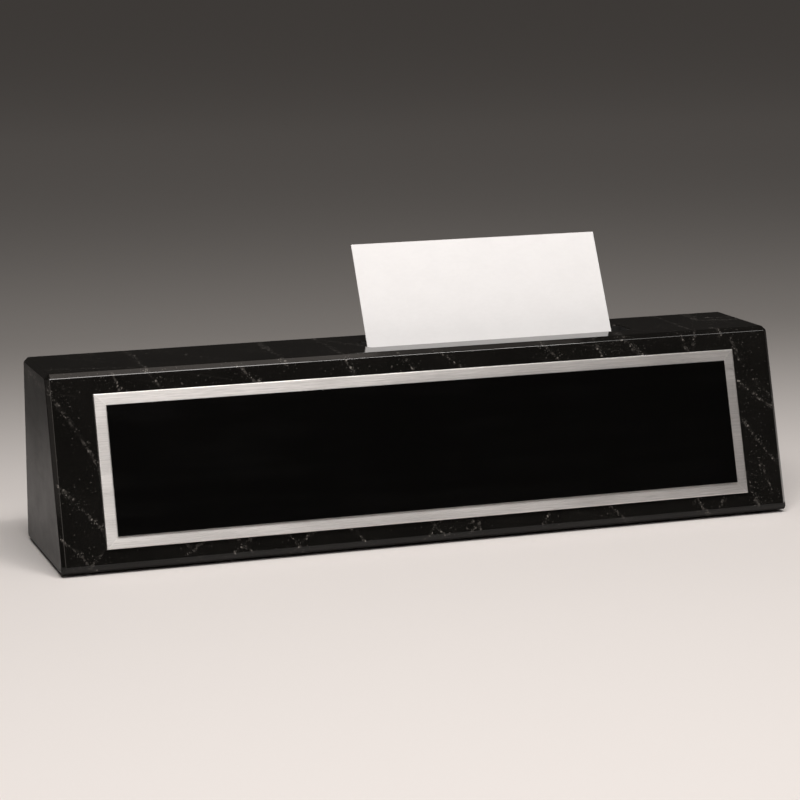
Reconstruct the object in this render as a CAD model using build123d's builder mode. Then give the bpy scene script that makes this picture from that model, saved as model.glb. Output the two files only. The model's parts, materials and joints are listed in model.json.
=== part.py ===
from build123d import *
import os
from math import cos, radians, sin, tan

# Desk name plate: a polished black marble block with a sloping front, a bordered plate
# on that front, and a slanted slot in the top that holds business cards.
# Millimetres, +Z up, +X to the reader's right, +Y to the back.
# The origin lies on the desk, under the middle of the block's base.

# The marble block, measured to its sharp edges before they are chamfered
block_length = 252.0
block_height = 61.4
base_depth = 60.0
front_lean = 16.0
back_lean = 4.0
edge_chamfer = 1.5
foot_chamfer = 2.2
arris_radius = 0.8

# The business card that stands in the slot
card_width = 88.9
card_height = 50.8
card_thickness = 0.4
card_clearance = 0.1

# The card slot, milled down and forwards through the top face
slot_end_clearance = 3.0
slot_width = 11.2
slot_depth = 16.4
slot_lean = 27.0
slot_corner_radius = 2.0
slot_rim_chamfer = 0.5
slot_right_of_middle = 32.5
slot_forward_of_middle = 1.8
cut_overrun = 5.0

# The brushed silver plate on the sloping front, and the tape behind it
silver_plate_end_margin = 14.7
silver_plate_edge_margin = 7.2
silver_plate_thickness = 1.0
silver_plate_edge_radius = 0.35
silver_tape_inset = 2.0
silver_tape_thickness = 0.2

# The black name plate on the silver plate, and the tape behind it
silver_border = 3.8
name_plate_thickness = 0.5
name_plate_bevel = 0.12
name_tape_inset = 1.5
name_tape_thickness = 0.1

# The four felt pads under the block, and the adhesive discs that hold them
pad_diameter = 16.0
pad_thickness = 0.8
pad_edge_chamfer = 0.2
pad_adhesive_inset = 0.5
pad_adhesive_thickness = 0.2
pad_end_inset = 18.0
pad_side_inset = 13.0

# Levels and places that follow from those sizes
block_bottom = pad_thickness + pad_adhesive_thickness
block_top = block_bottom + block_height
front_foot_y = -base_depth / 2
back_foot_y = base_depth / 2
front_top_y = front_foot_y + block_height * tan(radians(front_lean))
back_top_y = back_foot_y - block_height * tan(radians(back_lean))
front_slope_length = block_height / cos(radians(front_lean))

# The sloping front: local X to the right, local Y up the slope, local Z out of the stone
front_plane = Plane(
    origin=(0, (front_foot_y + front_top_y) / 2, (block_bottom + block_top) / 2),
    x_dir=(1, 0, 0),
    z_dir=(0, -cos(radians(front_lean)), sin(radians(front_lean))),
)

# The slot's floor: local Y = 0 is its rear wall, local Z runs up the slot
slot_length = card_width + 2 * slot_end_clearance
slot_mouth_width = slot_width / cos(radians(slot_lean))
slot_mouth_rear_y = (front_top_y + back_top_y) / 2 - slot_forward_of_middle + slot_mouth_width / 2
slot_floor_plane = Plane(
    origin=(
        slot_right_of_middle,
        slot_mouth_rear_y - slot_depth * sin(radians(slot_lean)),
        block_top - slot_depth * cos(radians(slot_lean)),
    ),
    x_dir=(1, 0, 0),
    z_dir=(0, sin(radians(slot_lean)), cos(radians(slot_lean))),
)

os.makedirs("parts", exist_ok=True)

# Marble block: the side profile drawn out to its length, its edges chamfered, more along the
# front and back foot and not along the foot of each end, the arrises eased by polishing, then
# the slot cut
with BuildPart() as marble_block:
    with BuildSketch(Plane.YZ):
        with BuildLine():
            Polyline(
                (front_foot_y, block_bottom),
                (back_foot_y, block_bottom),
                (back_top_y, block_top),
                (front_top_y, block_top),
                close=True,
            )
        make_face()
    extrude(amount=block_length / 2, both=True)
    foot_edges = marble_block.edges().group_by(Axis.Z)[0]
    chamfer(marble_block.edges() - foot_edges, length=edge_chamfer)
    chamfer(marble_block.edges().group_by(Axis.Z)[0].filter_by(Axis.X), length=foot_chamfer)
    fillet(marble_block.edges(), radius=arris_radius)
    with BuildSketch(slot_floor_plane):
        with Locations((0, -slot_width / 2)):
            RectangleRounded(slot_length, slot_width, slot_corner_radius)
    extrude(amount=slot_depth + cut_overrun, mode=Mode.SUBTRACT)
    slot_rim = marble_block.faces().sort_by(Axis.Z)[-1].inner_wires()[0].edges()
    chamfer(slot_rim, length=slot_rim_chamfer)
marble_block.part.label = "marble_block"
export_step(marble_block.part, "parts/marble_block.step")

# Silver plate and its tape, stacked outwards from the stone
silver_plate_width = block_length - 2 * silver_plate_end_margin
silver_plate_height = front_slope_length - 2 * silver_plate_edge_margin
silver_back_plane = front_plane.offset(silver_tape_thickness)
silver_face_plane = silver_back_plane.offset(silver_plate_thickness)

with BuildPart() as silver_plate_tape:
    with BuildSketch(front_plane):
        Rectangle(silver_plate_width - 2 * silver_tape_inset, silver_plate_height - 2 * silver_tape_inset)
    extrude(amount=silver_tape_thickness)
silver_plate_tape.part.label = "silver_plate_tape"
export_step(silver_plate_tape.part, "parts/silver_plate_tape.step")

with BuildPart() as silver_plate:
    with BuildSketch(silver_back_plane):
        Rectangle(silver_plate_width, silver_plate_height)
    extrude(amount=silver_plate_thickness)
    silver_face = silver_plate.faces().sort_by(Axis(front_plane.origin, front_plane.z_dir))[-1]
    fillet(silver_face.edges(), radius=silver_plate_edge_radius)
silver_plate.part.label = "silver_plate"
export_step(silver_plate.part, "parts/silver_plate.step")

# Name plate and its tape, on the silver plate inside the border that stays bare
name_plate_width = silver_plate_width - 2 * silver_border
name_plate_height = silver_plate_height - 2 * silver_border
name_back_plane = silver_face_plane.offset(name_tape_thickness)

with BuildPart() as name_plate_tape:
    with BuildSketch(silver_face_plane):
        Rectangle(name_plate_width - 2 * name_tape_inset, name_plate_height - 2 * name_tape_inset)
    extrude(amount=name_tape_thickness)
name_plate_tape.part.label = "name_plate_tape"
export_step(name_plate_tape.part, "parts/name_plate_tape.step")

with BuildPart() as name_plate:
    with BuildSketch(name_back_plane):
        Rectangle(name_plate_width, name_plate_height)
    extrude(amount=name_plate_thickness)
    name_face = name_plate.faces().sort_by(Axis(front_plane.origin, front_plane.z_dir))[-1]
    chamfer(name_face.edges(), length=name_plate_bevel)
name_plate.part.label = "name_plate"
export_step(name_plate.part, "parts/name_plate.step")

# Felt pads on the desk, each with its adhesive disc against the stone
pad_column_x = block_length / 2 - pad_end_inset
pad_row_y = base_depth / 2 - pad_side_inset
for row_name, row_side in (("front", -1), ("rear", 1)):
    for column_name, column_side in (("left", -1), ("right", 1)):
        pad_place = (column_side * pad_column_x, row_side * pad_row_y)
        with BuildPart() as felt_pad:
            with BuildSketch(Plane.XY):
                with Locations(pad_place):
                    Circle(pad_diameter / 2)
            extrude(amount=pad_thickness)
            chamfer(felt_pad.edges().group_by(Axis.Z)[0], length=pad_edge_chamfer)
        felt_pad.part.label = f"felt_pad_{row_name}_{column_name}"
        export_step(felt_pad.part, f"parts/{felt_pad.part.label}.step")
        with BuildPart() as pad_adhesive:
            with BuildSketch(Plane.XY.offset(pad_thickness)):
                with Locations(pad_place):
                    Circle(pad_diameter / 2 - pad_adhesive_inset)
            extrude(amount=pad_adhesive_thickness)
        pad_adhesive.part.label = f"pad_adhesive_{row_name}_{column_name}"
        export_step(pad_adhesive.part, f"parts/{pad_adhesive.part.label}.step")

# Business card: it stands on the slot's floor and lies back against the rear wall
with BuildPart() as business_card:
    with BuildSketch(slot_floor_plane.offset(card_clearance)):
        with Locations((0, -card_clearance - card_thickness / 2)):
            Rectangle(card_width, card_thickness)
    extrude(amount=card_height)
business_card.part.label = "business_card"
export_step(business_card.part, "parts/business_card.step")
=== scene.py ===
import json
import math

import bmesh
import bpy
from mathutils import Matrix, Vector, noise


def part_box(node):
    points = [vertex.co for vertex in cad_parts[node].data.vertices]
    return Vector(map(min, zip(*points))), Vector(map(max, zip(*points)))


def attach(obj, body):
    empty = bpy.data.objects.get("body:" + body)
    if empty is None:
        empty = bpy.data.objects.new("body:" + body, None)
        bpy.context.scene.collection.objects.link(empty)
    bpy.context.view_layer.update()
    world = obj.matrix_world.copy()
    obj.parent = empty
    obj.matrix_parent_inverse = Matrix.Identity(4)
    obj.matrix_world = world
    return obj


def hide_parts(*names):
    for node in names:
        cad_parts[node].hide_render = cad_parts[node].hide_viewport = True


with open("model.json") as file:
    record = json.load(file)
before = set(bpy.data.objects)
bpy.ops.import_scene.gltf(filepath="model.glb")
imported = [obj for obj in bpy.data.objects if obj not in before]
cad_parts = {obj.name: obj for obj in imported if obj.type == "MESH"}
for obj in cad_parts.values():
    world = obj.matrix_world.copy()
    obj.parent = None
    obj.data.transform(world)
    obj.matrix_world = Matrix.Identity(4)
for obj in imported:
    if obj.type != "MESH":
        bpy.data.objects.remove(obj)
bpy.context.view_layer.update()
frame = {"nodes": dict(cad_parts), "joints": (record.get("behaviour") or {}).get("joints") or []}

bl_info = {
    "name": "Desk name plate",
    "version": (1, 0, 0),
    "blender": (4, 5, 0),
    "location": "3D View > Sidebar > Name Plate",
    "description": "Finishes a marble desk name plate with a card slot, and its studio stage",
    "category": "Object",
}

MILLIMETRE = 0.001
RIGHT = Vector((1.0, 0.0, 0.0))
BACK = Vector((0.0, 1.0, 0.0))
UP = Vector((0.0, 0.0, 1.0))
FELT_PADS = tuple(n for n in sorted(frame["nodes"]) if n.startswith("felt_pad_"))
PAD_ADHESIVES = tuple(n for n in sorted(frame["nodes"]) if n.startswith("pad_adhesive_"))
TAPES = ("silver_plate_tape", "name_plate_tape")


# Settings

class MarbleSettings(bpy.types.PropertyGroup):
    """The polished stone of the block"""

    stone_colour: bpy.props.FloatVectorProperty(
        name="Stone", description="Colour of the plain stone between the veins",
        subtype="COLOR", min=0.0, max=1.0, default=(0.0045, 0.0042, 0.0037))
    vein_colour: bpy.props.FloatVectorProperty(
        name="Veins", description="Colour of the brightest beads of a vein",
        subtype="COLOR", min=0.0, max=1.0, default=(0.19, 0.176, 0.162))
    vein_width: bpy.props.FloatProperty(
        name="Vein width", description="Width of the chain of beads along a vein",
        subtype="DISTANCE", unit="LENGTH", min=0.0001, precision=5, default=0.0008)
    bead_size: bpy.props.FloatProperty(
        name="Bead size", description="Size of the mineral beads that make up a vein",
        subtype="DISTANCE", unit="LENGTH", min=0.0002, precision=5, default=0.0008)
    polish: bpy.props.FloatProperty(
        name="Polished roughness", description="Roughness of the polished faces",
        subtype="FACTOR", min=0.0, max=1.0, default=0.05)
    satin_ends: bpy.props.FloatProperty(
        name="End roughness", description="Roughness of the two satin ends",
        subtype="FACTOR", min=0.0, max=1.0, default=0.46)
    honed: bpy.props.FloatProperty(
        name="Honed roughness", description="Roughness of the milled slot and the sawn underside",
        subtype="FACTOR", min=0.0, max=1.0, default=0.95)


class PlateSettings(bpy.types.PropertyGroup):
    """The brushed silver plate and the lacquered name plate"""

    silver_colour: bpy.props.FloatVectorProperty(
        name="Silver", description="Colour of the brushed border",
        subtype="COLOR", min=0.0, max=1.0, default=(0.90, 0.876, 0.859))
    brush_pitch: bpy.props.FloatProperty(
        name="Brush pitch", description="Distance across the brush lines from one to the next",
        subtype="DISTANCE", unit="LENGTH", min=0.00002, precision=5, default=0.00035)
    brush_length: bpy.props.FloatProperty(
        name="Brush length", description="Length over which a brush line fades",
        subtype="DISTANCE", unit="LENGTH", min=0.001, default=0.018)
    silver_roughness: bpy.props.FloatProperty(
        name="Silver roughness", description="Roughness of the brushed border",
        subtype="FACTOR", min=0.0, max=1.0, default=0.40)
    lacquer_colour: bpy.props.FloatVectorProperty(
        name="Lacquer", description="Colour of the name plate's satin lacquer",
        subtype="COLOR", min=0.0, max=1.0, default=(0.0012, 0.0011, 0.0010))
    lacquer_roughness: bpy.props.FloatProperty(
        name="Lacquer roughness", description="Roughness of the satin lacquer",
        subtype="FACTOR", min=0.0, max=1.0, default=0.16)


class PaperSettings(bpy.types.PropertyGroup):
    """The card stock and the adhesive films"""

    card_colour: bpy.props.FloatVectorProperty(
        name="Card", description="Colour of the card stock",
        subtype="COLOR", min=0.0, max=1.0, default=(0.92, 0.912, 0.917))
    fibre_length: bpy.props.FloatProperty(
        name="Fibre length", description="Size of the fibre marks in the card stock",
        subtype="DISTANCE", unit="LENGTH", min=0.0001, precision=5, default=0.0009)
    tape_colour: bpy.props.FloatVectorProperty(
        name="Adhesive", description="Colour of the adhesive films",
        subtype="COLOR", min=0.0, max=1.0, default=(0.21, 0.205, 0.195))


class FeltSettings(bpy.types.PropertyGroup):
    """The felt pads under the block"""

    felt_colour: bpy.props.FloatVectorProperty(
        name="Felt", description="Colour of the pressed felt",
        subtype="COLOR", min=0.0, max=1.0, default=(0.014, 0.0135, 0.013))
    rim_radius: bpy.props.FloatProperty(
        name="Rim radius", description="How far the die-cut rim is rounded over",
        subtype="DISTANCE", unit="LENGTH", min=0.00005, precision=5, default=0.0003)
    fuzz: bpy.props.FloatProperty(
        name="Fuzz", description="Height of the loose fibres on the rim and faces",
        subtype="DISTANCE", unit="LENGTH", min=0.0, precision=5, default=0.00012)


class StageSettings(bpy.types.PropertyGroup):
    """Floor, lamps and camera"""

    floor_colour: bpy.props.FloatVectorProperty(
        name="Floor", description="Colour of the floor around the object",
        subtype="COLOR", min=0.0, max=1.0, default=(0.85, 0.812, 0.793))
    # Painted shade: the floor's colour darkens to this far behind the object.
    far_floor_painted_shade: bpy.props.FloatVectorProperty(
        name="Far floor", description="Colour that the floor fades to behind the object",
        subtype="COLOR", min=0.0, max=1.0, default=(0.39, 0.37, 0.355))
    far_glow: bpy.props.FloatVectorProperty(
        name="Far glow", description="Light of the dim far end of the floor, where the lamps don't reach",
        subtype="COLOR", min=0.0, max=1.0, default=(0.0362, 0.0325, 0.0299))
    room_colour: bpy.props.FloatVectorProperty(
        name="Room", description="Colour of the dim room around the stage",
        subtype="COLOR", min=0.0, max=1.0, default=(0.022, 0.020, 0.0185))
    key_power: bpy.props.FloatProperty(
        name="Key power", description="Power of the softbox in front of and above the object",
        unit="POWER", min=0.0, default=7.05)
    strip_power: bpy.props.FloatProperty(
        name="Strip power", description="Power of the bright strip that shows along the top front edge",
        unit="POWER", min=0.0, default=1.8)
    rim_power: bpy.props.FloatProperty(
        name="Rim power", description="Power of the strip at the right, which carries that edge on",
        unit="POWER", min=0.0, default=0.27)
    top_power: bpy.props.FloatProperty(
        name="Top power", description="Power of the weak light overhead",
        unit="POWER", min=0.0, default=0.2)
    fill_power: bpy.props.FloatProperty(
        name="Fill power", description="Power of the light above the camera, which evens out the card",
        unit="POWER", min=0.0, default=1.5)
    edge_power: bpy.props.FloatProperty(
        name="Edge power", description="Power of the low light at the left, which shows in the left chamfer",
        unit="POWER", min=0.0, default=0.035)
    line_power: bpy.props.FloatProperty(
        name="Line power",
        description="Power of the low light at the front left, seen as a line in the left edge",
        unit="POWER", min=0.0, default=0.17)
    lamp_colour: bpy.props.FloatVectorProperty(
        name="Lamps", description="Colour of the lamps",
        subtype="COLOR", min=0.0, max=1.0, default=(1.0, 0.965, 0.935))
    glow_colour: bpy.props.FloatVectorProperty(
        name="Weak lamps", description="Colour of the weak lamps that show in the chamfers",
        subtype="COLOR", min=0.0, max=1.0, default=(1.0, 0.90, 0.82))
    lens: bpy.props.FloatProperty(
        name="Lens", description="Focal length on a 36 mm sensor",
        unit="CAMERA", min=1.0, default=117.15)


class NamePlateSettings(bpy.types.PropertyGroup):
    """Everything about the name plate that a user would change"""

    marble: bpy.props.PointerProperty(type=MarbleSettings)
    plate: bpy.props.PointerProperty(type=PlateSettings)
    paper: bpy.props.PointerProperty(type=PaperSettings)
    felt: bpy.props.PointerProperty(type=FeltSettings)
    stage: bpy.props.PointerProperty(type=StageSettings)


# Node helpers

def add_node(tree, kind, inputs=None, **settings):
    """Adds a node, sets its options, and fills its inputs with values or links."""
    node = tree.nodes.new(kind)
    for name, value in settings.items():
        setattr(node, name, value)
    for key, value in (inputs or {}).items():
        if isinstance(value, bpy.types.NodeSocket):
            tree.links.new(value, node.inputs[key])
        else:
            node.inputs[key].default_value = value
    return node


def math_node(tree, operation, *values):
    """One Math node; returns its output socket."""
    return add_node(tree, "ShaderNodeMath", dict(enumerate(values)), operation=operation).outputs[0]


def total(tree, first, *others):
    """Values and links added up."""
    for other in others:
        first = math_node(tree, "ADD", first, other)
    return first


def product(tree, first, *others):
    """Values and links multiplied together."""
    for other in others:
        first = math_node(tree, "MULTIPLY", first, other)
    return first


def largest(tree, first, *others):
    """The largest of several values and links."""
    for other in others:
        first = math_node(tree, "MAXIMUM", first, other)
    return first


def gap(tree, value, level):
    """How far a value lies from a level, on either side of it."""
    return math_node(tree, "ABSOLUTE", math_node(tree, "SUBTRACT", value, level))


def vector_node(tree, operation, *values):
    """One Vector Math node that puts out a vector."""
    node = add_node(tree, "ShaderNodeVectorMath", dict(enumerate(values)), operation=operation)
    return node.outputs["Vector"]


def scaled(tree, vector, factor):
    """A vector times one number."""
    node = add_node(tree, "ShaderNodeVectorMath", {"Vector": vector, "Scale": factor}, operation="SCALE")
    return node.outputs["Vector"]


def along(tree, vector, direction):
    """How far a vector reaches along a fixed direction."""
    node = add_node(tree, "ShaderNodeVectorMath", {0: vector, 1: direction}, operation="DOT_PRODUCT")
    return node.outputs["Value"]


def ramp(tree, value, low, high, to_low=0.0, to_high=1.0):
    """A smooth step of a value from one range to another."""
    node = add_node(
        tree, "ShaderNodeMapRange",
        {"Value": value, "From Min": low, "From Max": high, "To Min": to_low, "To Max": to_high},
        interpolation_type="SMOOTHSTEP")
    return node.outputs["Result"]


def mixed(tree, factor, first, second):
    """Two colours mixed by a factor."""
    node = add_node(tree, "ShaderNodeMix", {0: factor, 6: first, 7: second}, data_type="RGBA")
    return node.outputs[2]


def noise_value(tree, vector, scale, detail=2.0, roughness=0.5):
    """Grey noise from 0 to 1, with so many cells to the metre."""
    node = add_node(
        tree, "ShaderNodeTexNoise",
        {"Vector": vector, "Scale": scale, "Detail": detail, "Roughness": roughness})
    return node.outputs["Fac"]


def noise_shift(tree, vector, scale, reach):
    """A vector moved about by noise, by up to half the reach each way."""
    node = add_node(tree, "ShaderNodeTexNoise", {"Vector": vector, "Scale": scale, "Detail": 2.0})
    centred = vector_node(tree, "SUBTRACT", node.outputs["Color"], (0.5, 0.5, 0.5))
    return vector_node(tree, "ADD", vector, scaled(tree, centred, reach))


def opaque(colour):
    """An RGB setting as the RGBA that a colour socket takes."""
    return (*colour, 1.0)


def shade_of(colour, factor):
    """A colour setting made darker or paler by a factor, as RGBA."""
    return opaque(factor * component for component in colour)


def new_material(name):
    """An empty material with an output and a Principled BSDF; returns material, tree and shader."""
    material = bpy.data.materials.new(name)
    material.use_nodes = True
    tree = material.node_tree
    tree.nodes.clear()
    output = tree.nodes.new("ShaderNodeOutputMaterial")
    shader = tree.nodes.new("ShaderNodeBsdfPrincipled")
    tree.links.new(shader.outputs["BSDF"], output.inputs["Surface"])
    return material, tree, shader


def object_place(tree):
    """The place on the piece, in metres, in the piece's own frame."""
    return tree.nodes.new("ShaderNodeTexCoord").outputs["Object"]


def dress(tree, shader, colour, roughness, relief, strength, depth):
    """Links a finish to its shader: its colour, its roughness and a relief of some depth."""
    bump = add_node(tree, "ShaderNodeBump", {"Height": relief, "Strength": strength, "Distance": depth})
    tree.links.new(colour, shader.inputs["Base Color"])
    tree.links.new(roughness, shader.inputs["Roughness"])
    tree.links.new(bump.outputs["Normal"], shader.inputs["Normal"])


def clothe(name, material):
    """Gives a CAD node its material."""
    mesh = frame["nodes"][name].data
    mesh.materials.clear()
    mesh.materials.append(material)


# Node group that several materials share

WIPE_CELLS = (25.0, 90.0, 260.0)


def smudge_group():
    """Faint cloudy marks from wiping and handling, for roughness."""
    name = "Handling smudges"
    if name in bpy.data.node_groups:
        return bpy.data.node_groups[name]
    group = bpy.data.node_groups.new(name, "ShaderNodeTree")
    face = group.interface
    face.new_socket(name="Place", in_out="INPUT", socket_type="NodeSocketVector")
    face.new_socket(name="Roughness", in_out="INPUT", socket_type="NodeSocketFloat")
    face.new_socket(name="Change", in_out="INPUT", socket_type="NodeSocketFloat")
    face.new_socket(name="Roughness", in_out="OUTPUT", socket_type="NodeSocketFloat")
    entry = group.nodes.new("NodeGroupInput")
    place = entry.outputs["Place"]
    clouds = noise_value(group, place, 34.0, detail=4.0, roughness=0.6)
    wipes = noise_value(group, vector_node(group, "MULTIPLY", place, WIPE_CELLS), 1.0)
    marks = ramp(group, total(group, clouds, wipes), 0.85, 1.25)
    extra = product(group, marks, entry.outputs["Change"])
    add_node(group, "NodeGroupOutput", {"Roughness": total(group, entry.outputs["Roughness"], extra)})
    return group


def smudged(tree, place, roughness, change):
    """Roughness with handling smudges."""
    node = add_node(
        tree, "ShaderNodeGroup", {"Place": place, "Roughness": roughness, "Change": change},
        node_tree=smudge_group())
    return node.outputs["Roughness"]


# Marble

# Veins, each near a plane through the stone. The numbers are where the plane meets the top, in millimetres
# right of the middle, how far it runs to the right for each unit it drops and for each unit it goes back,
# the depths below the top between which the vein lies, in millimetres, and how full it is, 1 for an
# even chain. The last eight lie behind the plates, and show on the back alone.
VEINS = (
    (-129.0, 0.60, 0.00, 3, 30, 1.3),
    (-155.4, 0.89, 0.00, 34, 50, 0.9),
    (-164.8, 0.80, 0.00, 50, 61, 0.8),
    (-62.3, -0.90, 0.00, 54, 60, 0.9),
    (-105.6, 0.72, 0.00, 1, 10, 1.2),
    (-93.2, 0.70, 0.03, 0, 50, 1.0),
    (-69.9, 0.55, -0.60, 1.3, 16, 1.2),
    (-47.5, 0.50, 0.05, 0, 2, 1.1),
    (-26.6, 0.40, 0.00, 0, 10, 0.9),
    (-14.4, 0.38, -0.57, 0, 20, 0.8),
    (5.0, 1.10, 0.00, 0, 9, 0.7),
    (41.4, 0.89, 0.00, 0, 12, 1.0),
    (61.4, 0.30, 0.00, 0, 8, 0.7),
    (71.4, 0.93, 0.00, 0, 14, 1.2),
    (92.6, 0.40, 0.00, 2, 9, 0.8),
    (98.6, -0.30, 0.00, 0.3, 10, 0.8),
    (110.8, 0.30, 0.00, 3, 10, 1.0),
    (91.0, 1.22, 0.00, 17, 27, 0.9),
    (104.5, 0.83, 0.00, 16, 24, 0.7),
    (91.6, 0.70, 0.00, 29, 50, 1.0),
    (99.2, 0.27, 0.00, 47, 60, 1.0),
    (104.0, 0.30, 0.00, 46, 56, 0.7),
    (-134.8, 0.90, 0.00, 54, 62, 0.8),
    (9.2, -1.60, 0.00, 54, 58, 0.7),
    (-123.3, 1.00, 0.00, 53, 60, 0.9),
    (24.9, -1.60, 0.00, 53, 59, 0.8),
    (-98.7, 0.85, 0.00, 53, 61, 0.9),
    (19.9, -1.17, 0.00, 53, 61, 0.9),
    (-96.2, 1.20, 0.00, 54, 60, 0.6),
    (-58.2, 1.00, 0.00, 52, 60, 0.9),
    (55.4, -1.00, 0.00, 52, 61, 0.8),
    (-43.0, 0.97, 0.00, 52, 59, 0.9),
    (84.3, -1.24, 0.00, 52, 61, 0.8),
    (77.9, -0.70, 0.00, 54, 59, 0.5),
    (17.8, 0.79, 0.00, 52, 62, 0.9),
    (60.0, 0.60, 0.00, 47, 62, 0.9),
    (154.0, -0.90, 0.00, 50, 62, 0.8),
    (-86.0, 0.75, 0.00, 14, 48, 1.0),
    (-54.0, 0.62, 0.00, 14, 38, 1.2),
    (-44.0, 0.85, 0.00, 24, 48, 0.9),
    (-4.0, 0.55, 0.00, 16, 36, 1.0),
    (10.0, 0.82, 0.00, 27, 48, 1.2),
    (39.0, 0.70, 0.00, 16, 44, 1.1),
    (84.0, -0.45, 0.00, 20, 46, 0.9),
    (86.0, 0.40, 0.00, 15, 31, 1.0),
)

# Short veins in the skin of the top, each from one place right of and behind the middle to another,
# in millimetres, and how full it is.
TOP_VEINS = (
    (111.5, 24.0, 109.0, 9.0, 2.2),
    (109.0, 9.0, 125.0, 5.0, 1.5),
    (110.0, 13.0, 125.0, 11.0, 1.2),
    (107.0, -7.0, 108.0, -13.0, 1.3),
    (-124.0, -2.0, -96.0, -9.0, 0.6),
)
SKIN_DEPTH = 2.0 * MILLIMETRE

# How pale the specks and the hairlines are, where the brightest bead of a vein is 1
SPECK_LIGHT = 0.42
THREAD_LIGHT = 0.08

# Hairlines: the direction across them, the distance from one to the next, and their width
THREAD_ACROSS = Vector((0.22, 0.19, 0.96))
THREAD_SPACING = 9.0 * MILLIMETRE
THREAD_WIDTH = 0.1 * MILLIMETRE

# Colours of the stone in the slot and on the underside, clean and under dust. The slot's colours are darker
# than the polished stone: painted shade in the recess.
SLOT_STONE_PAINTED_SHADE = (0.0016, 0.0015, 0.0013)
SLOT_DUST_PAINTED_SHADE = (0.0050, 0.0047, 0.0043)
SAWN_STONE = (0.014, 0.0133, 0.0125)
SAWN_DUST = (0.026, 0.0248, 0.0235)

# How far the milled slot reaches from the middle of the card, sideways, behind it and ahead of it. Between
# the two distances of each pair, the milled finish and the polish meet.
SLOT_SIDES = (48.0 * MILLIMETRE, 48.4 * MILLIMETRE)
SLOT_REAR = (-0.9 * MILLIMETRE, -0.7 * MILLIMETRE)
SLOT_FRONT = (11.6 * MILLIMETRE, 11.9 * MILLIMETRE)

# Heights over the foot at which the wear of the foot chamfers starts to fade and is gone, and the same
# for the scuffs along their lower edge
WORN_BAND = (2.3 * MILLIMETRE, 2.8 * MILLIMETRE)
SCUFFED_BAND = (0.35 * MILLIMETRE, 0.8 * MILLIMETRE)


def vein_distance(tree, place):
    """Distance to the nearest vein, counted larger the less full that vein is."""
    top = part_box("marble_block")[1].z
    height = along(tree, place, UP)
    nearest = 1.0
    for start, lean, skew, first, last, fullness in VEINS:
        across = Vector((1.0, -skew, lean)).normalized() / fullness
        level = across.dot(Vector((start * MILLIMETRE, 0.0, top)))
        middle = top - 0.5 * (first + last) * MILLIMETRE
        half = 0.5 * (last - first) * MILLIMETRE
        aside = gap(tree, along(tree, place, across), level)
        beyond = math_node(tree, "SUBTRACT", gap(tree, height, middle), half)
        nearest = math_node(tree, "MINIMUM", nearest, largest(tree, aside, beyond))
    deep = math_node(tree, "SUBTRACT", top - SKIN_DEPTH, height)
    for from_x, from_y, to_x, to_y, fullness in TOP_VEINS:
        first = MILLIMETRE * Vector((from_x, from_y, 0.0))
        last = MILLIMETRE * Vector((to_x, to_y, 0.0))
        run = (last - first).normalized()
        across = Vector((-run.y, run.x, 0.0)) / fullness
        from_middle = vector_node(tree, "SUBTRACT", place, 0.5 * (first + last))
        aside = math_node(tree, "ABSOLUTE", along(tree, from_middle, across))
        beyond = math_node(tree, "ABSOLUTE", along(tree, from_middle, run))
        beyond = math_node(tree, "SUBTRACT", beyond, 0.5 * (last - first).length)
        nearest = math_node(tree, "MINIMUM", nearest, largest(tree, aside, beyond, deep))
    return nearest


def grain_cells(tree, place, size):
    """Cells of about one size through the stone, each with its centre and three numbers of its own."""
    cells = add_node(tree, "ShaderNodeTexVoronoi", {"Vector": place, "Scale": 1.0 / size})
    lots = add_node(tree, "ShaderNodeSeparateColor", {"Color": cells.outputs["Color"]})
    return cells.outputs["Position"], cells.outputs["Distance"], lots.outputs


def grains(tree, cells, chance):
    """Roundish mineral grains in a share of the cells, some larger and paler than others."""
    _, distance, lots = cells
    held = ramp(tree, total(tree, lots[0], chance), 0.98, 1.02)
    reach = ramp(tree, lots[1], 0.0, 1.0, 0.28, 0.55)
    body = ramp(tree, math_node(tree, "SUBTRACT", reach, distance), 0.0, 0.22)
    pale = ramp(tree, lots[2], 0.1, 1.0, 0.16, 1.0)
    return product(tree, held, body, pale)


def threads(tree, place):
    """Very fine straight lines, broken here and there, where the stone once cracked and healed."""
    bent = noise_shift(tree, place, 40.0, 1.6 * MILLIMETRE)
    reach = math_node(tree, "DIVIDE", along(tree, bent, THREAD_ACROSS.normalized()), THREAD_SPACING)
    row = math_node(tree, "FLOOR", reach)
    lot = add_node(tree, "ShaderNodeTexWhiteNoise", {"W": row}, noise_dimensions="1D").outputs["Value"]
    level = total(tree, product(tree, lot, 0.6), 0.2)
    aside = product(tree, gap(tree, math_node(tree, "FRACT", reach), level), THREAD_SPACING)
    line = ramp(tree, aside, 0.3 * THREAD_WIDTH, THREAD_WIDTH, 1.0, 0.0)
    whole = ramp(tree, noise_value(tree, place, 60.0, detail=3.0), 0.50, 0.62)
    return product(tree, line, whole)


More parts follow.
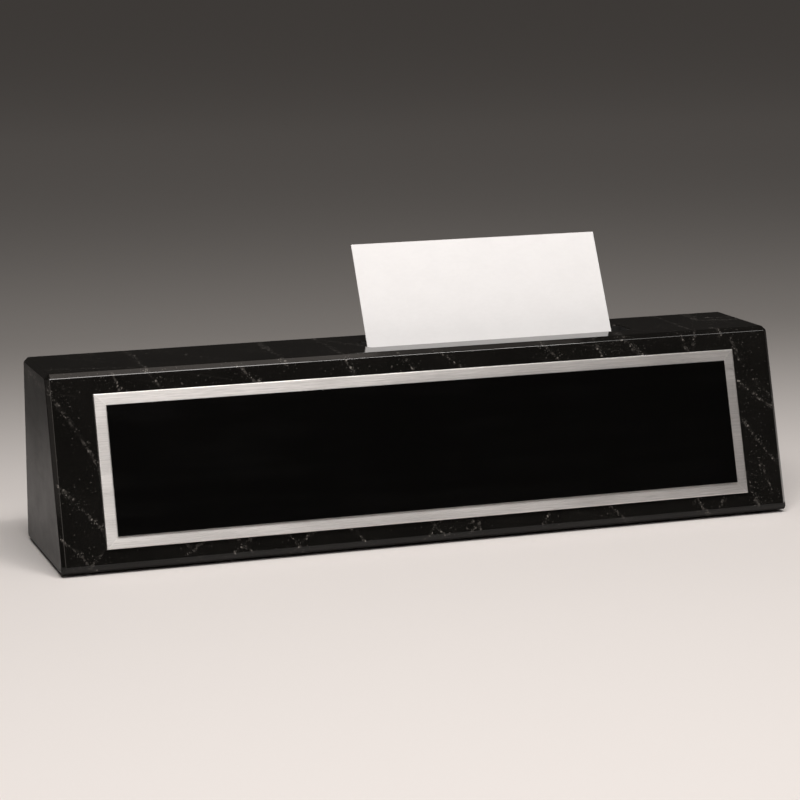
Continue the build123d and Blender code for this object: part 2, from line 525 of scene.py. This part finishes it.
def mineral_light(tree, place, settings):
    """How pale the stone is: chains of beads along the veins, specks round them, haze and hairlines."""
    bent = noise_shift(tree, place, 28.0, 3.6 * MILLIMETRE)
    bent = noise_shift(tree, bent, 170.0, 2.4 * MILLIMETRE)
    ragged = noise_shift(tree, bent, 1300.0, 0.7 * MILLIMETRE)
    bead_cells = grain_cells(tree, ragged, settings.bead_size)
    speck_cells = grain_cells(tree, ragged, 0.5 * settings.bead_size)
    nearest = vein_distance(tree, bead_cells[0])

    swelling = ramp(tree, noise_value(tree, place, 150.0), 0.54, 0.7, 0.9, 2.4)
    clear = math_node(tree, "DIVIDE", nearest, swelling)
    chain = ramp(tree, clear, 0.4 * settings.vein_width, 0.8 * settings.vein_width, 1.0, 0.0)
    density = ramp(tree, noise_value(tree, place, 130.0), 0.40, 0.60, 0.62, 1.0)
    beads = grains(tree, bead_cells, product(tree, chain, density))

    halo = ramp(tree, nearest, settings.vein_width, 6.0 * settings.vein_width, 1.0, 0.0)
    clusters = ramp(tree, noise_value(tree, place, 60.0, detail=3.0), 0.42, 0.68)
    right_end = ramp(tree, along(tree, place, RIGHT), 104.0 * MILLIMETRE, 118.0 * MILLIMETRE, 0.0, 0.4)
    clusters = total(tree, clusters, right_end)
    speck_chance = total(
        tree, product(tree, chain, 0.3), product(tree, halo, 0.12), product(tree, clusters, 0.15))
    specks = grains(tree, speck_cells, speck_chance)

    haze = ramp(tree, noise_value(tree, place, 650.0, detail=3.0), 0.45, 0.7, 0.02, 0.24)
    return largest(
        tree, beads, product(tree, specks, SPECK_LIGHT), product(tree, chain, haze),
        product(tree, threads(tree, place), THREAD_LIGHT))


def cut_colour_and_slot_shade(tree, place):
    """Colour of the stone where it is cut: in the milled slot, darkened there as painted shade, and paler on
    the sawn underside.
    """
    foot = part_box("marble_block")[0].z
    dust = noise_value(tree, place, 900.0, detail=3.0)
    # Painted shade: the slot's stone is coloured darker than the polished stone.
    milled = mixed(tree, dust, opaque(SLOT_STONE_PAINTED_SHADE), opaque(SLOT_DUST_PAINTED_SHADE))
    sawn = mixed(tree, dust, opaque(SAWN_STONE), opaque(SAWN_DUST))
    underside = ramp(
        tree, along(tree, place, UP), foot + 0.05 * MILLIMETRE, foot + 0.3 * MILLIMETRE, 1.0, 0.0)
    return mixed(tree, underside, milled, sawn)


def end_sanding(tree, place, settings):
    """How much rougher the satin ends are than the polish: patchy, and more so towards the top."""
    low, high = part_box("marble_block")
    patches = noise_value(tree, place, 26.0, detail=5.0, roughness=0.65)
    patches = ramp(tree, patches, 0.3, 0.7, -0.05, 0.05)
    upwards = ramp(tree, along(tree, place, UP), low.z + 24.0 * MILLIMETRE, high.z, -0.03, 0.17)
    return total(tree, patches, upwards, settings.satin_ends - settings.polish)


def foot_wear(tree, place, on_end):
    """How much rougher the foot chamfers are than the polish, most of all along their lower edge."""
    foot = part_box("marble_block")[0].z
    height = math_node(tree, "SUBTRACT", along(tree, place, UP), foot)
    worn = ramp(tree, height, *WORN_BAND, 0.65, 0.0)
    scuffed = ramp(tree, height, *SCUFFED_BAND, 0.36, 0.0)
    return product(tree, total(tree, worn, scuffed), math_node(tree, "SUBTRACT", 1.0, on_end))


def end_mask(tree, place):
    """1 on the two flat ends of the block, 0 elsewhere."""
    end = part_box("marble_block")[1].x
    out = math_node(tree, "ABSOLUTE", along(tree, place, RIGHT))
    return ramp(tree, out, end - 0.04 * MILLIMETRE, end - 0.005 * MILLIMETRE)


def cut_finish_and_slot_shade_mask(tree, place):
    """1 on the milled walls of the card slot and on the sawn underside, 0 on the polished faces; in the slot
    it also carries painted shade into the colour.
    """
    block_low, block_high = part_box("marble_block")
    card_low, card_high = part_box("business_card")
    joint = next(j for j in frame["joints"] if j["name"] == "card_lift")
    lift = Vector(joint["axis"]).normalized()
    outward = Vector((0.0, -lift.z, lift.y))
    from_card = vector_node(tree, "SUBTRACT", place, 0.5 * (card_low + card_high))
    ahead = along(tree, from_card, outward)
    sideways = math_node(tree, "ABSOLUTE", along(tree, from_card, RIGHT))
    height = along(tree, place, UP)
    rim = block_high.z - 0.35 * MILLIMETRE
    middle = 0.5 * (block_low.z + block_high.z)
    slot = product(
        tree,
        ramp(tree, height, rim - 0.1 * MILLIMETRE, rim, 1.0, 0.0),
        ramp(tree, height, middle, middle + 1.0 * MILLIMETRE),
        ramp(tree, sideways, *SLOT_SIDES, 1.0, 0.0),
        ramp(tree, ahead, *SLOT_REAR),
        ramp(tree, ahead, *SLOT_FRONT, 1.0, 0.0))
    foot = block_low.z
    underside = ramp(tree, height, foot + 0.02 * MILLIMETRE, foot + 0.1 * MILLIMETRE, 1.0, 0.0)
    return largest(tree, slot, underside)


def wax_film(tree, place, bare):
    """Where the polished faces keep their film of wax: little of it on the top, none where they are bare."""
    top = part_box("marble_block")[1].z
    kept = ramp(tree, along(tree, place, UP), top - 0.2 * MILLIMETRE, top - 0.08 * MILLIMETRE, 1.0, 0.15)
    return product(tree, math_node(tree, "SUBTRACT", 1.0, bare), kept)


def black_marble(settings):
    """Black marble: chains of grey beads, fine specks and hairlines in a near-black polished stone."""
    material, tree, shader = new_material("black_marble")
    place = object_place(tree)
    light = mineral_light(tree, place, settings)
    cut_finish_and_slot_shade = cut_finish_and_slot_shade_mask(tree, place)
    on_end = end_mask(tree, place)
    worn = foot_wear(tree, place, on_end)

    cloud = ramp(tree, noise_value(tree, place, 55.0, detail=4.0), 0.3, 0.75)
    colour = mixed(tree, cloud, opaque(settings.stone_colour), shade_of(settings.stone_colour, 1.6))
    colour = mixed(tree, light, colour, opaque(settings.vein_colour))
    # Painted shade in the slot: its stone is coloured near black; the sawn underside takes its own paler
    # colour.
    colour = mixed(tree, product(tree, cut_finish_and_slot_shade, 0.85), colour, cut_colour_and_slot_shade(tree, place))

    polish = smudged(tree, place, total(tree, settings.polish, product(tree, light, 0.12)), 0.03)
    satin = product(tree, on_end, end_sanding(tree, place, settings))
    polish = math_node(tree, "MINIMUM", total(tree, polish, satin, worn), 1.0)
    roughness = add_node(tree, "ShaderNodeMix", {0: cut_finish_and_slot_shade, 2: polish, 3: settings.honed}).outputs[0]
    milling = product(tree, cut_finish_and_slot_shade, noise_value(tree, place, 1600.0))
    dress(tree, shader, colour, roughness, milling, 0.35, 0.2 * MILLIMETRE)

    bare = largest(tree, on_end, cut_finish_and_slot_shade, math_node(tree, "MINIMUM", product(tree, worn, 2.0), 1.0))
    tree.links.new(wax_film(tree, place, bare), shader.inputs["Coat Weight"])
    shader.inputs["Coat Roughness"].default_value = 0.04
    shader.inputs["IOR"].default_value = 1.46
    return material


class NAMEPLATE_OT_marble_block(bpy.types.Operator):
    """Finish the block in polished black marble"""

    bl_idname = "nameplate.marble_block"
    bl_label = "Marble block"

    def execute(self, context):
        clothe("marble_block", black_marble(context.scene.name_plate.marble))
        return {"FINISHED"}


# Plates

def front_slope():
    """The direction up the sloping front, and the middle of the silver plate."""
    low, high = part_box("silver_plate")
    front = max(
        frame["nodes"]["silver_plate"].data.polygons,
        key=lambda face: face.area if face.normal.y < -0.5 else 0.0)
    return front.normal.cross(RIGHT), 0.5 * (low + high)


def brushed_silver(settings):
    """Aluminium brushed lengthwise; the corners of the border show a mitre with a painted highlight along
    it, and its ends are painted a shade darker as painted shade.
    """
    material, tree, shader = new_material("brushed_silver")
    slope, middle = front_slope()
    place = object_place(tree)
    from_middle = vector_node(tree, "SUBTRACT", place, middle)
    level = along(tree, from_middle, RIGHT)
    rise = along(tree, from_middle, slope)
    low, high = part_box("silver_plate")
    half_width = 0.5 * (high.x - low.x)
    half_height = 0.5 * math.hypot(high.y - low.y, high.z - low.z)
    to_end = math_node(tree, "SUBTRACT", half_width, math_node(tree, "ABSOLUTE", level))
    to_edge = math_node(tree, "SUBTRACT", half_height, math_node(tree, "ABSOLUTE", rise))
    past_mitre = math_node(tree, "SUBTRACT", to_edge, to_end)
    on_end = ramp(tree, past_mitre, -0.06 * MILLIMETRE, 0.06 * MILLIMETRE)
    from_mitre = math_node(tree, "ABSOLUTE", past_mitre)
    mitre = ramp(tree, from_mitre, 0.1 * MILLIMETRE, 0.35 * MILLIMETRE, 1.0, 0.0)

    def lines(pitch, length, detail):
        """Brush lines of one pitch, which start anew past the mitre."""
        stretched = add_node(tree, "ShaderNodeCombineXYZ", {
            0: math_node(tree, "DIVIDE", level, length),
            1: math_node(tree, "DIVIDE", rise, pitch),
            2: product(tree, on_end, 17.0),
        })
        return noise_value(tree, stretched.outputs[0], 1.0, detail=detail, roughness=0.6)

    broad = lines(2.4 * settings.brush_pitch, settings.brush_length, 2.0)
    fine = lines(settings.brush_pitch, 0.4 * settings.brush_length, 3.0)
    streaks = total(tree, product(tree, broad, 0.5), product(tree, fine, 0.5))
    silver = opaque(settings.silver_colour)
    darker = shade_of(settings.silver_colour, 0.74)
    colour = mixed(tree, ramp(tree, streaks, 0.34, 0.66), darker, silver)
    # Painted shade: the ends of the border a shade darker.
    colour = mixed(tree, product(tree, on_end, 0.35), colour, darker)
    # Painted highlight: a paler line along each mitre.
    colour = mixed(tree, product(tree, mitre, 0.5), colour, silver)
    dullest = settings.silver_roughness + 0.07
    brightest = settings.silver_roughness - 0.04
    roughness = smudged(tree, place, ramp(tree, streaks, 0.3, 0.7, dullest, brightest), 0.05)
    dress(tree, shader, colour, roughness, fine, 0.18, 0.05 * MILLIMETRE)

    tangent = add_node(tree, "ShaderNodeCombineXYZ", {0: slope.x, 1: slope.y, 2: slope.z})
    tree.links.new(tangent.outputs[0], shader.inputs["Tangent"])
    shader.inputs["Metallic"].default_value = 1.0
    shader.inputs["Anisotropic"].default_value = 0.65
    return material


def black_lacquer(settings):
    """Satin black lacquer on sheet metal, with a faint orange peel and wiping marks."""
    material, tree, shader = new_material("black_lacquer")
    place = object_place(tree)
    peel = noise_value(tree, place, 420.0, detail=2.0)
    cloud = ramp(tree, noise_value(tree, place, 26.0, detail=3.0), 0.3, 0.7)
    colour = mixed(tree, cloud, shade_of(settings.lacquer_colour, 0.75), opaque(settings.lacquer_colour))
    roughness = smudged(tree, place, settings.lacquer_roughness, 0.05)
    dress(tree, shader, colour, roughness, peel, 0.04, 0.1 * MILLIMETRE)
    return material


class NAMEPLATE_OT_plates(bpy.types.Operator):
    """Finish the silver plate in brushed aluminium and the name plate in satin lacquer"""

    bl_idname = "nameplate.plates"
    bl_label = "Plates"

    def execute(self, context):
        settings = context.scene.name_plate.plate
        clothe("silver_plate", brushed_silver(settings))
        clothe("name_plate", black_lacquer(settings))
        return {"FINISHED"}


# Card and adhesive films

def card_stock(settings):
    """Smooth white card with fibre marks and a very faint tooth."""
    material, tree, shader = new_material("card_stock")
    place = object_place(tree)
    stretched = vector_node(tree, "MULTIPLY", place, (0.5, 1.0, 1.0))
    fibres = noise_value(tree, stretched, 1.0 / settings.fibre_length, detail=3.0)
    cloud = noise_value(tree, place, 140.0, detail=2.0)
    marks = ramp(tree, total(tree, fibres, cloud), 0.7, 1.3)
    colour = mixed(tree, marks, shade_of(settings.card_colour, 0.975), opaque(settings.card_colour))
    roughness = ramp(tree, fibres, 0.3, 0.7, 0.5, 0.62)
    dress(tree, shader, colour, roughness, fibres, 0.05, 0.1 * MILLIMETRE)
    return material


BUBBLE_COLOUR = (0.5, 0.49, 0.47)


def adhesive_film(settings):
    """Milky adhesive film with small trapped bubbles."""
    material, tree, shader = new_material("adhesive_film")
    place = object_place(tree)
    bubbles = add_node(tree, "ShaderNodeTexVoronoi", {"Vector": place, "Scale": 900.0})
    bubble = ramp(tree, bubbles.outputs["Distance"], 0.1, 0.28, 1.0, 0.0)
    cloud = noise_value(tree, place, 220.0, detail=3.0)
    colour = mixed(tree, cloud, shade_of(settings.tape_colour, 0.7), opaque(settings.tape_colour))
    colour = mixed(tree, product(tree, bubble, 0.4), colour, opaque(BUBBLE_COLOUR))
    roughness = ramp(tree, cloud, 0.3, 0.7, 0.35, 0.55)
    dress(tree, shader, colour, roughness, bubble, 0.1, 0.1 * MILLIMETRE)
    return material


class NAMEPLATE_OT_business_card(bpy.types.Operator):
    """Finish the business card in white card stock"""

    bl_idname = "nameplate.business_card"
    bl_label = "Business card"

    def execute(self, context):
        clothe("business_card", card_stock(context.scene.name_plate.paper))
        return {"FINISHED"}


class NAMEPLATE_OT_adhesives(bpy.types.Operator):
    """Finish the tapes behind the plates and the discs over the pads in adhesive film"""

    bl_idname = "nameplate.adhesives"
    bl_label = "Adhesive films"

    def execute(self, context):
        film = adhesive_film(context.scene.name_plate.paper)
        for name in TAPES + PAD_ADHESIVES:
            clothe(name, film)
        return {"FINISHED"}


# Felt pads

def pressed_felt(settings):
    """Pressed black felt: matted fibres with a soft sheen."""
    material, tree, shader = new_material("pressed_felt")
    place = object_place(tree)
    matted = noise_shift(tree, place, 900.0, 1.2 * MILLIMETRE)
    stretched = vector_node(tree, "MULTIPLY", matted, (1.0, 0.35, 1.0))
    fibres = noise_value(tree, stretched, 4200.0, detail=3.0)
    clumps = noise_value(tree, place, 800.0, detail=2.0)
    lint = ramp(tree, total(tree, fibres, clumps), 0.8, 1.35)
    colour = mixed(tree, lint, opaque(settings.felt_colour), shade_of(settings.felt_colour, 3.2))
    roughness = ramp(tree, clumps, 0.3, 0.7, 0.88, 1.0)
    dress(tree, shader, colour, roughness, fibres, 0.6, 0.2 * MILLIMETRE)
    shader.inputs["Sheen Weight"].default_value = 0.25
    shader.inputs["Sheen Roughness"].default_value = 0.6
    return material


# Facets of a pad: round it, from its middle to its rim, and over the rounded rim
PAD_TURNS = 120
PAD_RINGS = 14
RIM_STEPS = 4

# Lumps and loose fibres of the felt, to the metre; the outer share of a pad that frays; and how far
# it frays outwards and sinks inwards, as shares of the fuzz
LUMPS = 1700.0
FIBRES = 5200.0
FRAYED = 0.2
OUTWARDS = 0.7
INWARDS = 0.35


def pad_profile(radius, thickness, rim):
    """Half of a pad's section, as radius and height, from the middle below to the middle above."""
    profile = [(radius * ring / PAD_RINGS * (1.0 - rim / radius), 0.0) for ring in range(PAD_RINGS + 1)]
    for step in range(1, RIM_STEPS + 1):
        angle = 0.5 * math.pi * step / RIM_STEPS
        profile.append((radius - rim + rim * math.sin(angle), rim - rim * math.cos(angle)))
    return profile + [(r, thickness - z) for r, z in reversed(profile)]


def felt_pad(name, low, high, settings, material):
    """A die-cut felt disc: rounded rim, faces and rim roughened by loose fibres."""
    centre = 0.5 * (low + high)
    radius = 0.5 * (high.x - low.x) - settings.fuzz
    thickness = high.z - low.z
    profile = pad_profile(radius, thickness, settings.rim_radius)

    build = bmesh.new()
    loops = []
    for r, z in profile[1:-1]:
        loop = []
        for turn in range(PAD_TURNS):
            angle = 2.0 * math.pi * turn / PAD_TURNS
            point = centre + Vector((r * math.cos(angle), r * math.sin(angle), low.z + z - centre.z))
            lumps = noise.noise(point * LUMPS) + 0.5 * noise.noise(point * FIBRES)
            edge = max(0.0, (r - (1.0 - FRAYED) * radius) / (FRAYED * radius))
            point.x += settings.fuzz * OUTWARDS * lumps * edge * math.cos(angle)
            point.y += settings.fuzz * OUTWARDS * lumps * edge * math.sin(angle)
            inward = 1.0 if z < 0.5 * thickness else -1.0
            point.z += inward * settings.fuzz * INWARDS * abs(lumps) * (1.0 - 0.6 * edge)
            loop.append(build.verts.new(point))
        loops.append(loop)
    for lower, upper in zip(loops, loops[1:]):
        for turn in range(PAD_TURNS):
            after = (turn + 1) % PAD_TURNS
            build.faces.new((lower[turn], lower[after], upper[after], upper[turn]))
    for (_, z), loop, order in ((profile[0], loops[0], -1), (profile[-1], loops[-1], 1)):
        pole = build.verts.new((centre.x, centre.y, low.z + z))
        for turn in range(PAD_TURNS):
            pair = (loop[turn], loop[(turn + 1) % PAD_TURNS])[::order]
            build.faces.new((pole, *pair))
    bmesh.ops.recalc_face_normals(build, faces=build.faces)
    for face in build.faces:
        face.smooth = True
    mesh = bpy.data.meshes.new(name)
    build.to_mesh(mesh)
    build.free()
    mesh.materials.append(material)
    pad = bpy.data.objects.new(name, mesh)
    bpy.context.scene.collection.objects.link(pad)
    return pad


class NAMEPLATE_OT_felt_pads(bpy.types.Operator):
    """Make the four felt pads under the block"""

    bl_idname = "nameplate.felt_pads"
    bl_label = "Felt pads"

    def execute(self, context):
        settings = context.scene.name_plate.felt
        felt = pressed_felt(settings)
        for node in FELT_PADS:
            low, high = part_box(node)
            pad = felt_pad(node.replace("felt_pad", "felt_disc"), low, high, settings, felt)
            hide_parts(node)
            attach(pad, "block")
        return {"FINISHED"}


# Stage

CAMERA_PLACE = Vector((-0.2742, -0.8151, 0.2040))
CAMERA_YAW = math.radians(18.348)
CAMERA_PITCH = math.radians(10.583)
CAMERA_ROLL = math.radians(-0.75)
SENSOR_WIDTH = 36.0

FLOOR_TURN = math.radians(-9.0)
FLOOR_HALF = 9.0
UNLIT = (0.0, 0.0, 0.0)

# Distances behind the middle of the block over which the floor's colour darkens as painted shade, and over
# which its far end lights up as painted light
FLOOR_FADE = (-0.03, 0.44)
GLOW_RISE = (0.5, 1.7)

# Softboxes: place, how far right of the middle each one aims, width, depth, the setting of its power,
# the share of that power and the setting of its colour. All aim at one height, over the block's middle line.
SOFTBOXES = (
    ("key_softbox", (-0.16, -0.42, 0.88), -0.16, 0.78, 0.42, "key_power", 1.0, "lamp_colour"),
    ("strip_softbox", (0.265, -0.42, 0.88), 0.265, 0.34, 0.08, "strip_power", 1.0, "lamp_colour"),
    ("fill_softbox", (-0.30, -0.95, 0.78), -0.30, 0.4, 0.3, "fill_power", 1.0, "lamp_colour"),
    ("rim_softbox", (0.55, -0.15, 1.00), 0.55, 0.20, 0.10, "rim_power", 1.0, "lamp_colour"),
    ("top_softbox", (0.15, 0.10, 1.05), 0.15, 0.3, 0.4, "top_power", 1.0, "glow_colour"),
    ("fade_softbox", (0.38, 0.10, 1.05), 0.38, 0.16, 0.4, "top_power", 0.2, "glow_colour"),
    ("edge_softbox", (-1.10, -0.33, 0.22), -0.1, 0.35, 0.2, "edge_power", 1.0, "glow_colour"),
    ("line_softbox", (-0.89, -0.61, 0.28), -0.1, 0.3, 0.2, "line_power", 1.0, "glow_colour"),
)
AIM_HEIGHT = 0.03


def make_camera(settings):
    """The camera, standing in front and to the left, looking a little down."""
    ahead = Vector((
        math.sin(CAMERA_YAW) * math.cos(CAMERA_PITCH),
        math.cos(CAMERA_YAW) * math.cos(CAMERA_PITCH),
        -math.sin(CAMERA_PITCH)))
    right = Vector((math.cos(CAMERA_YAW), -math.sin(CAMERA_YAW), 0.0))
    up = right.cross(ahead)
    tilted_right = math.cos(CAMERA_ROLL) * right + math.sin(CAMERA_ROLL) * up
    tilted_up = math.cos(CAMERA_ROLL) * up - math.sin(CAMERA_ROLL) * right
    data = bpy.data.cameras.new("camera")
    data.lens = settings.lens
    data.sensor_width = SENSOR_WIDTH
    data.clip_start = 0.01
    data.clip_end = 100.0
    camera = bpy.data.objects.new("camera", data)
    turn = Matrix((tilted_right, tilted_up, -ahead)).transposed()
    camera.matrix_world = Matrix.Translation(CAMERA_PLACE) @ turn.to_4x4()
    bpy.context.scene.collection.objects.link(camera)
    bpy.context.scene.camera = camera


def make_softbox(name, place, aim, width, depth, power, colour):
    """A rectangular softbox that faces a point."""
    data = bpy.data.lights.new(name, "AREA")
    data.shape = "RECTANGLE"
    data.size = width
    data.size_y = depth
    data.energy = power
    data.color = colour
    lamp = bpy.data.objects.new(name, data)
    lamp.location = place
    lamp.rotation_mode = "QUATERNION"
    lamp.rotation_quaternion = (aim - place).to_track_quat("-Z", "Y")
    bpy.context.scene.collection.objects.link(lamp)


def floor_paint(settings):
    """Matt floor, pale round the object and painted darker far behind it as painted shade, its far end
    glowing as painted light.
    """
    material, tree, shader = new_material("floor_paint")
    place = object_place(tree)
    distance = along(tree, place, BACK)
    fade = ramp(tree, distance, *FLOOR_FADE)
    tooth = noise_value(tree, place, 900.0, detail=2.0)
    pale = mixed(tree, tooth, shade_of(settings.floor_colour, 0.985), opaque(settings.floor_colour))
    # Painted shade: the floor coloured darker far behind the object.
    colour = mixed(tree, fade, pale, opaque(settings.far_floor_painted_shade))
    # Painted light: the far end of the floor glows.
    glow = mixed(tree, ramp(tree, distance, *GLOW_RISE), opaque(UNLIT), opaque(settings.far_glow))
    tree.links.new(colour, shader.inputs["Base Color"])
    tree.links.new(glow, shader.inputs["Emission Color"])
    shader.inputs["Emission Strength"].default_value = 1.0
    shader.inputs["Roughness"].default_value = 0.85
    shader.inputs["Specular IOR Level"].default_value = 0.1
    return material


def make_floor(settings):
    """A wide flat floor, turned so that its own Y axis, along which its painted shade darkens, runs away
    from the camera.
    """
    mesh = bpy.data.meshes.new("floor")
    build = bmesh.new()
    bmesh.ops.create_grid(build, x_segments=8, y_segments=8, size=FLOOR_HALF)
    build.to_mesh(mesh)
    build.free()
    mesh.materials.append(floor_paint(settings))
    floor = bpy.data.objects.new("floor", mesh)
    floor.rotation_euler = (0.0, 0.0, FLOOR_TURN)
    bpy.context.scene.collection.objects.link(floor)


def make_room(settings):
    """The dim room around the stage."""
    world = bpy.data.worlds.new("room")
    world.use_nodes = True
    background = world.node_tree.nodes["Background"]
    background.inputs["Color"].default_value = opaque(settings.room_colour)
    background.inputs["Strength"].default_value = 1.0
    bpy.context.scene.world = world


class NAMEPLATE_OT_stage(bpy.types.Operator):
    """Make the floor, the lamps, the dim room and the camera"""

    bl_idname = "nameplate.stage"
    bl_label = "Stage"

    def execute(self, context):
        settings = context.scene.name_plate.stage
        context.scene.view_settings.view_transform = "Standard"
        make_camera(settings)
        make_floor(settings)
        make_room(settings)
        for name, place, aim, width, depth, power, share, colour in SOFTBOXES:
            make_softbox(
                name, Vector(place), Vector((aim, 0.0, AIM_HEIGHT)), width, depth,
                share * getattr(settings, power), getattr(settings, colour))
        return {"FINISHED"}


class NAMEPLATE_PT_sidebar(bpy.types.Panel):
    """Lists the pieces of the name plate and their settings"""

    bl_idname = "NAMEPLATE_PT_sidebar"
    bl_label = "Name Plate"
    bl_space_type = "VIEW_3D"
    bl_region_type = "UI"
    bl_category = "Name Plate"

    def draw(self, context):
        settings = context.scene.name_plate
        for operator, group in PIECES:
            box = self.layout.box()
            box.operator(operator.bl_idname)
            for key in getattr(settings, group).__annotations__:
                box.prop(getattr(settings, group), key)


PIECES = (
    (NAMEPLATE_OT_marble_block, "marble"),
    (NAMEPLATE_OT_plates, "plate"),
    (NAMEPLATE_OT_business_card, "paper"),
    (NAMEPLATE_OT_adhesives, "paper"),
    (NAMEPLATE_OT_felt_pads, "felt"),
    (NAMEPLATE_OT_stage, "stage"),
)

CLASSES = (
    MarbleSettings,
    PlateSettings,
    PaperSettings,
    FeltSettings,
    StageSettings,
    NamePlateSettings,
    NAMEPLATE_OT_marble_block,
    NAMEPLATE_OT_plates,
    NAMEPLATE_OT_business_card,
    NAMEPLATE_OT_adhesives,
    NAMEPLATE_OT_felt_pads,
    NAMEPLATE_OT_stage,
    NAMEPLATE_PT_sidebar,
)


def register():
    for cls in CLASSES:
        bpy.utils.register_class(cls)
    bpy.types.Scene.name_plate = bpy.props.PointerProperty(type=NamePlateSettings)


def unregister():
    del bpy.types.Scene.name_plate
    for cls in reversed(CLASSES):
        bpy.utils.unregister_class(cls)


def main():
    register()
    bpy.ops.nameplate.marble_block()
    bpy.ops.nameplate.plates()
    bpy.ops.nameplate.business_card()
    bpy.ops.nameplate.adhesives()
    bpy.ops.nameplate.felt_pads()
    bpy.ops.nameplate.stage()


if __name__ == "__main__":
    main()
